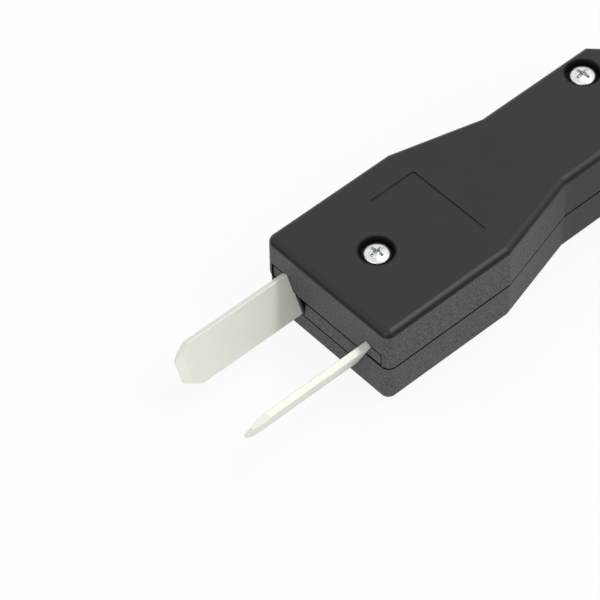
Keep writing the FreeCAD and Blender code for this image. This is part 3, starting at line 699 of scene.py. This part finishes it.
# %% Seats of the screws, washers and nuts
UP = (0, 0, 1)
HEAD_SEAT = 10.7
STRAP_TOP = 0.2
BLADE_LEAN = math.radians(25.8)
BLADE_OFFSET = 13.5
BLADE_DROP = 1.1
TERMINAL_Y = 17.5


def on_blade(side, height):
    """A seat on the blade's terminal axis, on the right (1) or the left (-1)."""
    across = side * (BLADE_OFFSET - height * math.cos(BLADE_LEAN))
    up = height * math.sin(BLADE_LEAN) - BLADE_DROP
    axis = (-side * math.cos(BLADE_LEAN), 0, math.sin(BLADE_LEAN))
    return (across, TERMINAL_Y, up), axis


front_seat = ((0, 18.0, HEAD_SEAT), UP)
rear_seats = [((side * 9.2, 102.0, HEAD_SEAT), UP) for side in (1, -1)]
strap_seats = [((side * 9.8, 88.0, STRAP_TOP), UP) for side in (1, -1)]

housing_screws = seated("housing_screws", housing_screw, [front_seat] + rear_seats, bright_zinc, 5)
clamp_screws = seated("clamp_screws", clamp_screw, strap_seats, bright_zinc, 35)

head_seats, washer_seats, nut_seats = (
    [on_blade(side, height) for side in (1, -1)] for height in (3.2, 2.2, -4.2)
)
terminal_screws = seated("terminal_screws", terminal_screw, head_seats, strip_steel, 15)
lock_washers = seated("lock_washers", lock_washer, washer_seats, strip_steel, 70)
terminal_nuts = seated("terminal_nuts", terminal_nut, nut_seats, strip_steel)

# %% [markdown]
# ## Smooth shading on the moulded and stamped pieces
# A solid modeller hands over loose triangles. Smoothing them all alike lets the normals of a
# rounded edge leak into the flat beside it, as grey streaks along the long triangles. Flat
# shading keeps the flats but shows every facet of the edge. So each corner of each triangle
# gets a normal of its own: on a flat it is the flat's, where a rounded edge meets a flat it is
# also the flat's, and elsewhere it is the mean of the neighbours. The welded copy then stands
# for the solid.

# %% Weld and smooth a copy of a solid
def flat_groups(mesh):
    """For each face, the number of the flat that it lies in, or -1 on a curved face."""
    edge_faces = {}
    for face in mesh.polygons:
        for key in face.edge_keys:
            edge_faces.setdefault(key, []).append(face.index)
    group = [None] * len(mesh.polygons)
    sizes = []
    for seed in range(len(mesh.polygons)):
        if group[seed] is not None:
            continue
        group[seed] = len(sizes)
        normal = mesh.polygons[seed].normal.copy()
        waiting, area = [seed], 0.0
        while waiting:
            face = mesh.polygons[waiting.pop()]
            area += face.area
            for key in face.edge_keys:
                for other in edge_faces[key]:
                    if group[other] is None and mesh.polygons[other].normal.dot(normal) > FLAT_COSINE:
                        group[other] = len(sizes)
                        waiting.append(other)
        sizes.append(area)
    return [number if sizes[number] > SMALLEST_FLAT else -1 for number in group]


FLAT_COSINE = math.cos(math.radians(0.3))
SMALLEST_FLAT = 1.2e-6


def corner_normals(mesh, degrees):
    """A normal for each corner: the flat's own, or the mean of the curved neighbours."""
    groups = flat_groups(mesh)
    limit = math.cos(math.radians(degrees))
    around = {}
    for face in mesh.polygons:
        for vertex in face.vertices:
            around.setdefault(vertex, []).append(face.index)
    normals = []
    for face in mesh.polygons:
        for vertex in face.vertices:
            if groups[face.index] >= 0:
                normals.append(face.normal.copy())
                continue
            near = [mesh.polygons[index] for index in around[vertex]]
            near = [one for one in near if one.normal.dot(face.normal) > limit]
            flats = [one for one in near if groups[one.index] >= 0]
            if flats:
                normals.append(max(flats, key=lambda one: one.area).normal.copy())
                continue
            total = Vector((0, 0, 0))
            for one in near:
                total += one.normal * one.area
            normals.append(total.normalized())
    return normals


WELD_DISTANCE = 0.0000005


def polished(node, finish, degrees=30):
    """A welded, smoothly shaded copy of a solid's mesh, with its finish."""
    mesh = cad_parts[node].data.copy()
    shape = bmesh.new()
    shape.from_mesh(mesh)
    bmesh.ops.remove_doubles(shape, verts=shape.verts, dist=WELD_DISTANCE)
    shape.to_mesh(mesh)
    shape.free()
    mesh.materials.clear()
    mesh.materials.append(finish)
    mesh.shade_smooth()
    mesh.normals_split_custom_set(corner_normals(mesh, degrees))
    piece = bpy.data.objects.new(node + "_body", mesh)
    bpy.context.scene.collection.objects.link(piece)
    print(piece.name, "has", len(mesh.polygons), "faces")
    return piece


dressed = {
    "upper_housing": (plastic, "housing_plastic"),
    "lower_housing": (plastic, "housing_plastic"),
    "blade_carrier": (plastic, "housing_plastic"),
    "left_blade": (blade_plate, "blade_metal"),
    "right_blade": (blade_plate, "blade_metal"),
    "left_wire_clamp": (strip_steel, "terminal_steel"),
    "right_wire_clamp": (strip_steel, "terminal_steel"),
    "clamp_strap": (strip_steel, "terminal_steel"),
}
for node, (finish, slot) in dressed.items():
    piece = polished(node, finish)
    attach(piece, "root")
    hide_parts(node)

# %% [markdown]
# ## Fix the small pieces to the plug
# Every piece rides on the plug's one rigid body, and the solids that it stands for are hidden.

# %% Ride and replace
SMALL_PIECES = (
    (housing_screws, "screw_zinc", ("front_screw", "rear_right_screw", "rear_left_screw")),
    (clamp_screws, "screw_zinc", ("left_clamp_screw", "right_clamp_screw")),
    (terminal_screws, "terminal_steel", ("left_terminal_screw", "right_terminal_screw")),
    (lock_washers, "terminal_steel", ("left_lock_washer", "right_lock_washer")),
    (terminal_nuts, "terminal_steel", ("left_terminal_nut", "right_terminal_nut")),
)
for piece, slot, nodes in SMALL_PIECES:
    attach(piece, "root")
    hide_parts(*nodes)

# %% [markdown]
# ## A pale floor
# The plug lies on a pale floor that melts into a white background. A floor lit by lamps alone
# would be grey somewhere. Part of what the camera sees of it is therefore a plain white that
# needs no light, and the rest keeps the soft shadow. Mirrors see the same mixture.

# %% Floor
FLOOR_HALF = 3.0
FLOOR_GAP = 0.00005  # two faces in one plane would flicker
FLOOR_PALE = (0.86, 0.86, 0.86, 1)
PLAIN_WHITE_SHARE = 0.9


def pale_floor():
    finish = Finish("pale_floor")
    seen = finish.node("ShaderNodeLightPath", output="Is Camera Ray")
    mirrored = finish.node("ShaderNodeLightPath", output="Is Glossy Ray")
    through = finish.node("ShaderNodeLightPath", output="Is Transmission Ray")
    share = (seen + mirrored + through).math("MINIMUM", 1.0) * PLAIN_WHITE_SHARE
    cloth = finish.node("ShaderNodeBsdfDiffuse", None, {"Color": FLOOR_PALE})
    glow = finish.node("ShaderNodeEmission", None, {"Color": (1, 1, 1, 1), "Strength": 1.0})
    mix = finish.node("ShaderNodeMixShader", None, {0: share, 1: cloth, 2: glow})
    finish.node("ShaderNodeOutputMaterial", None, {"Surface": mix})
    return finish.material


floor_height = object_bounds()[0][2] - FLOOR_GAP
floor_mesh = bpy.data.meshes.new("floor")
floor_corners = [(x * FLOOR_HALF, y * FLOOR_HALF, floor_height) for x, y in CORNERS]
floor_mesh.from_pydata(floor_corners, [], [(0, 1, 2, 3)])
floor_mesh.materials.append(pale_floor())
floor = bpy.data.objects.new("floor", floor_mesh)
bpy.context.scene.collection.objects.link(floor)
print("floor height:", round(floor_height, 4), "m")

# %% [markdown]
# ## Studio light
# Three soft lamps and a pale room, which gives the even light of a catalogue picture. A long
# narrow lamp hangs high behind the plug, where the rounded edge on the right mirrors it, and
# draws the pale line along that edge. A fill in front keeps the mating face and the blades
# light, and a weak one at the right lifts the grained side. The plug is lit at a plain level,
# so that its colours show about as they were written.

# %% World
ROOM_LIGHT = 0.55
ROOM_WHITE = 1.0


def room():
    world = bpy.data.worlds.new("room")
    world.use_nodes = True
    tree = world.node_tree
    tree.nodes.clear()
    path = tree.nodes.new("ShaderNodeLightPath")
    total = tree.nodes.new("ShaderNodeMath")
    total.operation = "MAXIMUM"
    tree.links.new(path.outputs["Is Camera Ray"], total.inputs[0])
    tree.links.new(path.outputs["Is Glossy Ray"], total.inputs[1])
    both = tree.nodes.new("ShaderNodeMath")
    both.operation = "MAXIMUM"
    tree.links.new(total.outputs[0], both.inputs[0])
    tree.links.new(path.outputs["Is Transmission Ray"], both.inputs[1])
    lit = tree.nodes.new("ShaderNodeBackground")
    lit.inputs["Color"].default_value = (1, 1, 1, 1)
    lit.inputs["Strength"].default_value = ROOM_LIGHT
    shown = tree.nodes.new("ShaderNodeBackground")
    shown.inputs["Color"].default_value = (1, 1, 1, 1)
    shown.inputs["Strength"].default_value = ROOM_WHITE
    mix = tree.nodes.new("ShaderNodeMixShader")
    tree.links.new(both.outputs[0], mix.inputs[0])
    tree.links.new(lit.outputs[0], mix.inputs[1])
    tree.links.new(shown.outputs[0], mix.inputs[2])
    out = tree.nodes.new("ShaderNodeOutputWorld")
    tree.links.new(mix.outputs[0], out.inputs["Surface"])
    return world


bpy.context.scene.world = room()


# %% Lamps
def hang(light, place, target):
    """A lamp at a place, pointed at a target, with its width along X."""
    away = (Vector(place) - Vector(target)).normalized()
    across = (Vector((1, 0, 0)) - away * away.x).normalized()
    thing = bpy.data.objects.new(light.name, light)
    thing.location = place
    thing.rotation_euler = Matrix((across, away.cross(across), away)).transposed().to_euler()
    bpy.context.scene.collection.objects.link(thing)
    return thing


def soft_box(name, place, target, wide, deep, power):
    """A rectangular soft lamp, in metres and watts."""
    light = bpy.data.lights.new(name, "AREA")
    light.shape = "RECTANGLE"
    light.size = wide
    light.size_y = deep
    light.energy = power
    return hang(light, place, target)


MIDDLE = (0.0, 0.03, 0.0)
soft_box("edge_light", (0.32, 0.54, 1.14), MIDDLE, wide=1.15, deep=0.2, power=7.0)
soft_box("front_fill", (0.3, -1.1, 0.6), MIDDLE, wide=0.8, deep=0.8, power=4.0)
soft_box("right_side", (1.2, -0.1, 0.45), MIDDLE, wide=0.6, deep=0.6, power=0.8)

# %% [markdown]
# ## Finish
# The colours are shown as they are written.

# %% View
bpy.context.scene.view_settings.view_transform = "Standard"
